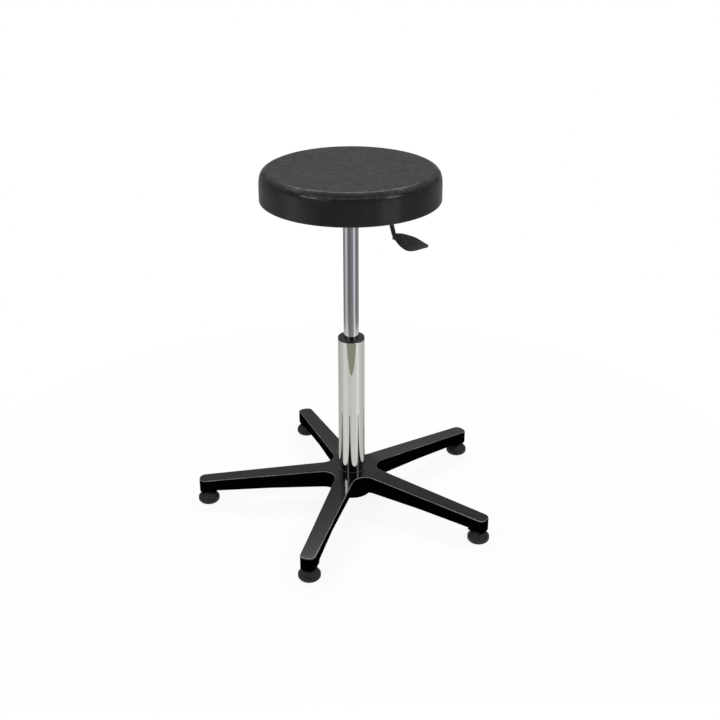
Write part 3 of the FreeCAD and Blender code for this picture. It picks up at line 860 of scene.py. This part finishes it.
def smooth_through(points, start, end, steps):
    """Hermite curve through (r, z) points, with given end directions."""
    count = len(points)
    spans = [(Vector(points[i + 1]) - Vector(points[i])).length for i in range(count - 1)]
    tangents = []
    for i in range(count):
        if i == 0:
            tangents.append(Vector(start).normalized())
        elif i == count - 1:
            tangents.append(Vector(end).normalized())
        else:
            a, b = spans[i - 1], spans[i]
            before = (Vector(points[i]) - Vector(points[i - 1])) / a
            after = (Vector(points[i + 1]) - Vector(points[i])) / b
            tangents.append((before * b + after * a) / (a + b))
    out = []
    for i in range(count - 1):
        p, q, span = Vector(points[i]), Vector(points[i + 1]), spans[i]
        u, v = tangents[i] * span, tangents[i + 1] * span
        for k in range(steps):
            t = k / steps
            square, cube = t**2, t**3
            from_p, from_q = 2 * cube - 3 * square + 1, -2 * cube + 3 * square
            from_u, from_v = cube - 2 * square + t, cube - square
            out.append(tuple(p * from_p + u * from_u + q * from_q + v * from_v))
    return out + [tuple(points[-1])]


crown_points = [
    (0, SEAT_TOP),
    (SEAT_R * 0.40, SEAT_TOP - CROWN * 0.10),
    (SEAT_R * 0.70, SEAT_TOP - CROWN * 0.30),
    (SEAT_R * 0.865, SEAT_TOP - CROWN * 0.50),
    (SEAT_R - 14.5, SEAT_TOP - CROWN * 0.60),
    (SEAT_R - 11.0, SEAT_TOP - CROWN - 0.3),
    (SEAT_R - 6.4, SEAT_TOP - CROWN - 3.2),
    (SEAT_R - 3.0, SEAT_TOP - CROWN - 7.6),
    (SEAT_R - 0.9, SEAT_TOP - CROWN - 14.4),
    (SEAT_R + 0.1, SEAT_TOP - CROWN - 26.0),
    (SEAT_R + 0.2, SEAT_LOW + 14.0),
]
skin_line = smooth_through(crown_points, (1, 0), (0, -1), 10)
side_r, mouth_r = SEAT_R + 0.2, BOARD_R + BOARD_GAP
rim_corners = [(side_r, SEAT_LOW + 9), (side_r, SEAT_LOW), (mouth_r, SEAT_LOW)]
rim = curved(rim_corners, [0, RIM_R, 0], 6)
under = [(mouth_r, BOARD_TOP - BOARD_LAP), (0, BOARD_TOP - BOARD_LAP)]
cushion = turned("cushion_foam", skin_line + rim + under, 288)


def settle(piece):
    """Small hollows and soft folds that a moulded skin shows near its shoulder."""
    for v in piece.data.vertices:
        x, y, z = v.co
        r, height = math.hypot(x, y) / MM, z / MM
        if height < SEAT_LOW + 6 or r < 1:
            continue
        angle = math.atan2(y, x)
        off_r, off_z = (r - SEAT_R + 8) / 9, (height - SEAT_TOP + 8) / 8
        shoulder = math.exp(-(off_r**2)) * math.exp(-(off_z**2))
        fold = noise.noise(Vector((math.cos(angle) * 9, math.sin(angle) * 9, z * 160)))
        slow = noise.noise(Vector((x * 14, y * 14, z * 20)))
        rise = HOLLOWS * slow + FOLDS * shoulder * fold
        v.co += v.normal * rise * MM
    piece.data.update()


settle(cushion)


def leather_group():
    """Moulded leather grain: soft cells with fine creases between them."""
    tree = shade_group("leather grain", [("Height", "NodeSocketFloat")])
    add_input(tree, "Cells per metre", 420.0)
    add, link = tree.nodes.new, tree.links.new
    start, end = add("NodeGroupInput"), add("NodeGroupOutput")
    warp, bent, size = add("ShaderNodeTexNoise"), add("ShaderNodeVectorMath"), add("ShaderNodeMath")
    cells, fine, both = add("ShaderNodeTexVoronoi"), add("ShaderNodeTexNoise"), add("ShaderNodeMath")
    soft = add("ShaderNodeMapRange")
    warp.inputs["Scale"].default_value = 160.0
    bent.operation = "MULTIPLY_ADD"
    bent.inputs[1].default_value = (0.0022, 0.0022, 0.0022)
    cells.feature = "DISTANCE_TO_EDGE"
    size.operation = "MULTIPLY"
    size.inputs[1].default_value = 3.1
    soft.inputs["From Max"].default_value = 0.22
    soft.interpolation_type = "SMOOTHSTEP"
    both.operation = "MULTIPLY_ADD"
    both.inputs[1].default_value = 0.35
    fine.inputs["Detail"].default_value = 4.0
    link(start.outputs["Position"], warp.inputs["Vector"])
    link(warp.outputs["Color"], bent.inputs[0])
    link(start.outputs["Position"], bent.inputs[2])
    link(bent.outputs[0], cells.inputs["Vector"])
    link(start.outputs["Cells per metre"], cells.inputs["Scale"])
    link(start.outputs["Cells per metre"], size.inputs[0])
    link(size.outputs[0], fine.inputs["Scale"])
    link(start.outputs["Position"], fine.inputs["Vector"])
    link(cells.outputs["Distance"], soft.inputs["Value"])
    link(fine.outputs[0], both.inputs[0])
    link(soft.outputs[0], both.inputs[2])
    link(both.outputs[0], end.inputs["Height"])
    return tree


def dimple_shade_group():
    """Scattered specks of a few millimetres, in loose drifts: the mask of painted shade that stands for
    shallow dimples in the skin.
    """
    tree = shade_group("painted dimple shade", [("Specks", "NodeSocketFloat")])
    add, link = tree.nodes.new, tree.links.new
    start, end = add("NodeGroupInput"), add("NodeGroupOutput")
    small, drift = add("ShaderNodeTexNoise"), add("ShaderNodeTexNoise")
    pick, where, both = add("ShaderNodeMapRange"), add("ShaderNodeMapRange"), add("ShaderNodeMath")
    small.inputs["Scale"].default_value = 260.0
    small.inputs["Detail"].default_value = 2.0
    drift.inputs["Scale"].default_value = 24.0
    drift.inputs["Detail"].default_value = 3.0
    pick.inputs["From Min"].default_value = 0.56
    pick.inputs["From Max"].default_value = 0.68
    where.inputs["From Min"].default_value = 0.40
    where.inputs["From Max"].default_value = 0.62
    both.operation = "MULTIPLY"
    link(start.outputs["Position"], small.inputs["Vector"])
    link(start.outputs["Position"], drift.inputs["Vector"])
    link(small.outputs[0], pick.inputs["Value"])
    link(drift.outputs[0], where.inputs["Value"])
    link(pick.outputs[0], both.inputs[0])
    link(where.outputs[0], both.inputs[1])
    link(both.outputs[0], end.inputs["Specks"])
    return tree


def foam_skin():
    """Black self-skinned foam with a moulded leather grain, and painted shade in small specks on the top
    for shallow dimples.
    """
    made, tree, shader = material("foam skin", (0.016, 0.0155, 0.016), 0.45, spec=0.15)
    add, link = tree.nodes.new, tree.links.new
    grain = placed(tree, leather_group())
    patches = placed(tree, mould_texture)
    patches.inputs["Patch scale"].default_value = 22.0
    spread_to(tree, patches.outputs["Patches"], 0.42, 0.54, shader.inputs["Roughness"])
    masks = faced(tree, patches)
    dimples = placed(tree, dimple_shade_group())
    # painted shade: darker specks for dimples, only on faces that point up
    painted_dimple_shade = add("ShaderNodeMath")
    painted_dimple_shade.operation = "MULTIPLY"
    link(dimples.outputs["Specks"], painted_dimple_shade.inputs[0])
    link(masks.outputs["Top"], painted_dimple_shade.inputs[1])
    skin = mottled(tree, (0.0165, 0.0160, 0.0166), 150.0, 0.84, 1.16)
    # the darker colour mixed in here is the painted dimple shade
    link(mixed(tree, painted_dimple_shade.outputs[0], skin, (0.011, 0.0107, 0.011)), shader.inputs["Base Color"])
    # gloss in small patches on the top and shoulder, and even down the side
    gloss = placed(tree, mould_texture)
    gloss.inputs["Patch scale"].default_value = 105.0
    where, split = add("ShaderNodeTexCoord"), add("ShaderNodeSeparateXYZ")
    leaning, coat = add("ShaderNodeMapRange"), add("ShaderNodeMix")
    leaning.inputs["From Min"].default_value = 0.05
    leaning.inputs["From Max"].default_value = 0.35
    coat.inputs["A"].default_value = 0.52
    link(where.outputs["Normal"], split.inputs[0])
    link(split.outputs["Z"], leaning.inputs["Value"])
    link(leaning.outputs[0], coat.inputs["Factor"])
    spread_to(tree, gloss.outputs["Patches"], 0.20, 0.66, coat.inputs["B"])
    link(coat.outputs[0], shader.inputs["Coat Weight"])
    shader.inputs["Coat Roughness"].default_value = 0.16
    bumped(tree, grain.outputs["Height"], shader, 0.5, 0.0003)
    return made


shaded(cushion, 50.0)
cushion.data.materials.append(foam_skin())
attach(cushion, "seat")
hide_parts("seat_cushion")

# Lever. An 8 mm steel rod, bent twice and coated black, with a leaf-shaped acetal
# paddle moulded onto its outer end.

paddle_finish = moulded(
    "paddle acetal", (0.060, 0.062, 0.072), 0.5, 0.35, 650.0, 0.3, 0.0002, tones=(420.0, 0.55, 1.45)
)
dress(powder_coat, "lever_rod")
dress(paddle_finish, "lever_paddle")

# Studio. A round pale floor, a room whose light by direction gives the chrome its mirror
# images, and three softboxes. Seen directly, the floor and the room are white.


def shown_directly(tree):
    """1 for rays from the camera, a mirror or glass."""
    path = tree.nodes.new("ShaderNodeLightPath")
    either, any_of = tree.nodes.new("ShaderNodeMath"), tree.nodes.new("ShaderNodeMath")
    either.operation = any_of.operation = "MAXIMUM"
    tree.links.new(path.outputs["Is Camera Ray"], either.inputs[0])
    tree.links.new(path.outputs["Is Transmission Ray"], either.inputs[1])
    tree.links.new(either.outputs[0], any_of.inputs[0])
    tree.links.new(path.outputs["Is Glossy Ray"], any_of.inputs[1])
    return either.outputs[0], any_of.outputs[0]


def direction(tree, place):
    """Share of a turn about the vertical axis, and the height, of a coordinate."""
    split, angle = tree.nodes.new("ShaderNodeSeparateXYZ"), tree.nodes.new("ShaderNodeMath")
    turn = tree.nodes.new("ShaderNodeMath")
    angle.operation, turn.operation = "ARCTAN2", "MULTIPLY_ADD"
    turn.inputs[1].default_value = 1 / (2 * math.pi)
    turn.inputs[2].default_value = 0.5
    tree.links.new(place, split.inputs[0])
    tree.links.new(split.outputs["Y"], angle.inputs[0])
    tree.links.new(split.outputs["X"], angle.inputs[1])
    tree.links.new(angle.outputs[0], turn.inputs[0])
    return turn.outputs[0], split.outputs["Z"]


def by_share(tree, share, stops):
    """Colour from a 0 to 1 value and (share, colour) stops."""
    node = tree.nodes.new("ShaderNodeValToRGB")
    ramp = node.color_ramp
    ramp.interpolation = "EASE"
    while len(ramp.elements) < len(stops):
        ramp.elements.new(0.5)
    for element, (place, _) in zip(ramp.elements, stops):
        element.position = place
    for element, (_, color) in zip(ramp.elements, stops):
        element.color = (*color, 1.0)
    tree.links.new(share, node.inputs["Fac"])
    return node.outputs[0]


def by_degrees(tree, share, stops):
    """Colour from a share of a turn and (degrees, colour) stops."""
    return by_share(tree, share, [(degrees / 360 + 0.5, color) for degrees, color in stops])


WHITE = (1.0, 1.0, 1.0)
FLOOR_LIGHT = [
    (-180, (0.62, 0.62, 0.60)),
    (-160, (0.76, 0.76, 0.74)),
    (-127, (1.0, 1.0, 0.98)),
    (-108, (0.92, 0.92, 0.90)),
    (-92, (0.80, 0.80, 0.77)),
    (-60, (0.90, 0.90, 0.86)),
    (-44, (0.87, 0.87, 0.84)),
    (-28, (1.10, 1.10, 1.09)),
    (-14, (1.14, 1.14, 1.12)),
    (0, (0.84, 0.84, 0.82)),
    (20, (0.72, 0.72, 0.70)),
    (60, (0.68, 0.68, 0.66)),
    (120, (0.64, 0.64, 0.62)),
    (180, (0.62, 0.62, 0.60)),
]


def floor_finish():
    """Pale board that shows as white, with the object's shadow and soft uneven light."""
    made, tree, shader = material("pale floor", (0.82, 0.82, 0.81), 0.9)
    add, link = tree.nodes.new, tree.links.new
    where, glowing = add("ShaderNodeTexCoord"), add("ShaderNodeMath")
    glow, mix = add("ShaderNodeEmission"), add("ShaderNodeMixShader")
    turn, _ = direction(tree, where.outputs["Object"])
    seen, mirrored = shown_directly(tree)
    tone = mixed(tree, seen, by_degrees(tree, turn, FLOOR_LIGHT), WHITE)
    glowing.operation = "MULTIPLY"
    glowing.inputs[1].default_value = 0.84
    glow.inputs["Strength"].default_value = 1.06
    link(tone, glow.inputs["Color"])
    link(mirrored, glowing.inputs[0])
    link(glowing.outputs[0], mix.inputs[0])
    link(shader.outputs[0], mix.inputs[1])
    link(glow.outputs[0], mix.inputs[2])
    link(mix.outputs[0], tree.nodes["Material Output"].inputs["Surface"])
    return made


FLOOR_R = 850.0
FRONT_EDGE = 592.0
FRONT_TURN = math.radians(-74.0)
RIM_STEPS = 192


def floor_reach(angle):
    """Distance to the board's rim: round, with one straight front edge."""
    across = math.cos(angle - FRONT_TURN)
    return min(FLOOR_R, FRONT_EDGE / across) if across > 0.1 else FLOOR_R


rows = []
for share in (1.0, 0.66, 0.33, 0.001):
    row = []
    for i in range(RIM_STEPS):
        angle = 2 * math.pi * i / RIM_STEPS
        reach = floor_reach(angle) * share
        row.append((reach * math.cos(angle), reach * math.sin(angle), 0.0))
    rows.append(row)
verts, faces = woven(rows, closed_across=True)
faces.append(tuple(range(len(verts) - RIM_STEPS, len(verts))))
floor = mesh_of("floor", verts, faces)
if floor.data.polygons[0].normal.z < 0:
    floor.data.flip_normals()
floor.data.materials.append(floor_finish())

WALL_LIGHT = [
    (-180, (0.30, 0.30, 0.30)),
    (-168, (0.42, 0.42, 0.42)),
    (-156, (0.86, 0.85, 0.85)),
    (-144, (0.86, 0.85, 0.85)),
    (-128, (0.40, 0.39, 0.41)),
    (-110, (0.19, 0.18, 0.20)),
    (-92, (0.18, 0.185, 0.185)),
    (-66, (0.27, 0.26, 0.31)),
    (-42, (0.36, 0.35, 0.39)),
    (-30, (1.02, 1.01, 1.05)),
    (-17, (1.02, 1.01, 1.05)),
    (-6, (0.30, 0.30, 0.31)),
    (20, (0.22, 0.22, 0.22)),
    (48, (0.34, 0.34, 0.34)),
    (180, (0.30, 0.30, 0.30)),
]
HEIGHT_LIGHT = [
    (0.0, (0.22, 0.22, 0.22)),
    (0.26, (0.19, 0.188, 0.19)),
    (0.33, (0.25, 0.247, 0.25)),
    (0.42, (0.43, 0.42, 0.43)),
    (0.48, (0.31, 0.305, 0.31)),
    (0.63, (0.28, 0.275, 0.28)),
    (0.76, (1.3, 1.3, 1.31)),
    (0.83, (1.3, 1.3, 1.31)),
    (0.91, (0.24, 0.24, 0.24)),
]
FRONT_LIGHT = [
    (-180, (1.0, 1.0, 1.0)),
    (-166, (0.30, 0.30, 0.30)),
    (-150, (0.06, 0.06, 0.06)),
    (-119, (0.06, 0.06, 0.06)),
    (-113, (3.2, 3.2, 3.2)),
    (-105, (3.2, 3.2, 3.2)),
    (-99, (0.06, 0.06, 0.06)),
    (-32, (0.06, 0.06, 0.06)),
    (-24, (3.2, 3.2, 3.2)),
    (-14, (3.2, 3.2, 3.2)),
    (-7, (0.06, 0.06, 0.06)),
    (16, (0.30, 0.30, 0.30)),
    (34, (1.0, 1.0, 1.0)),
    (180, (1.0, 1.0, 1.0)),
]


def height_share(tree, height, low, high, soft=False):
    """0 at one height and 1 at another, and a share of the way in between."""
    step = tree.nodes.new("ShaderNodeMapRange")
    step.inputs["From Min"].default_value = low
    step.inputs["From Max"].default_value = high
    if soft:
        step.interpolation_type = "SMOOTHSTEP"
    tree.links.new(height, step.inputs["Value"])
    return step.outputs[0]


def room():
    """Studio room by direction: dim walls, two upright lights and a soft ring above."""
    world = bpy.data.worlds.new("studio room")
    bpy.context.scene.world = world
    world.use_nodes = True
    tree = world.node_tree
    where = tree.nodes.new("ShaderNodeTexCoord")
    turn, height = direction(tree, where.outputs["Generated"])
    # walls, with a paler band low down
    low = height_share(tree, height, -0.4035, -0.4110)
    walls = mixed(tree, low, by_degrees(tree, turn, WALL_LIGHT), (0.36, 0.39, 0.31))
    # ceiling, with its lower part shaded by direction
    above = by_share(tree, height, HEIGHT_LIGHT)
    shaded_front = tree.nodes.new("ShaderNodeMix")
    shaded_front.data_type = "RGBA"
    shaded_front.blend_type = "MULTIPLY"
    shaded_front.inputs["Factor"].default_value = 1.0
    tree.links.new(above, shaded_front.inputs["A"])
    tree.links.new(by_degrees(tree, turn, FRONT_LIGHT), shaded_front.inputs["B"])
    high = height_share(tree, height, 0.58, 0.70)
    ceiling = mixed(tree, high, shaded_front.outputs["Result"], above)
    light = mixed(tree, height_share(tree, height, 0.02, 0.25, soft=True), walls, ceiling)
    seen, _ = shown_directly(tree)
    back = tree.nodes["Background"]
    tree.links.new(mixed(tree, seen, light, WHITE), back.inputs["Color"])
    back.inputs["Strength"].default_value = 1.0


room()

MIDDLE = 0.45


def softbox(name, azimuth, elevation, distance, width, depth, power):
    """Soft lamp that looks at the middle of the stool."""
    lamp = bpy.data.lights.new(name, "AREA")
    lamp.shape = "RECTANGLE"
    lamp.size, lamp.size_y, lamp.energy = width, depth, power
    place = bpy.data.objects.new(name, lamp)
    a, e = math.radians(azimuth), math.radians(elevation)
    away = Vector((math.cos(e) * math.cos(a), math.cos(e) * math.sin(a), math.sin(e)))
    place.location = Vector((0.0, 0.0, MIDDLE)) + away * distance
    place.rotation_euler = (-away).to_track_quat("-Z", "Y").to_euler()
    bpy.context.scene.collection.objects.link(place)


softbox("left softbox", -130, 33, 2.4, 0.8, 0.5, 7.0)
softbox("right softbox", -19, 33, 2.4, 0.8, 0.5, 7.0)
softbox("back softbox", 105, 50, 2.5, 1.8, 0.7, 14.0)

# Camera. It stands at the front right, above the seat, and looks down at the stool as
# the photograph does.

CAMERA_PLACE = (0.5275, -1.8836, 1.2155)
CAMERA_TURN = math.radians(15.174)
CAMERA_LIFT = math.radians(64.825)
CAMERA_ROLL = math.radians(-0.073)
FOCAL_LENGTH = 57.95
SENSOR = 36.0

lens = bpy.data.cameras.new("camera")
lens.lens = FOCAL_LENGTH
lens.sensor_width = SENSOR
lens.clip_start = 0.05
lens.clip_end = 50.0
camera = bpy.data.objects.new("camera", lens)
camera.location = CAMERA_PLACE
aim = Matrix.Rotation(CAMERA_TURN, 3, "Z") @ Matrix.Rotation(CAMERA_LIFT, 3, "X")
camera.rotation_euler = (aim @ Matrix.Rotation(CAMERA_ROLL, 3, "Z")).to_euler()
bpy.context.scene.collection.objects.link(camera)
bpy.context.scene.camera = camera
bpy.context.scene.view_settings.view_transform = "Standard"
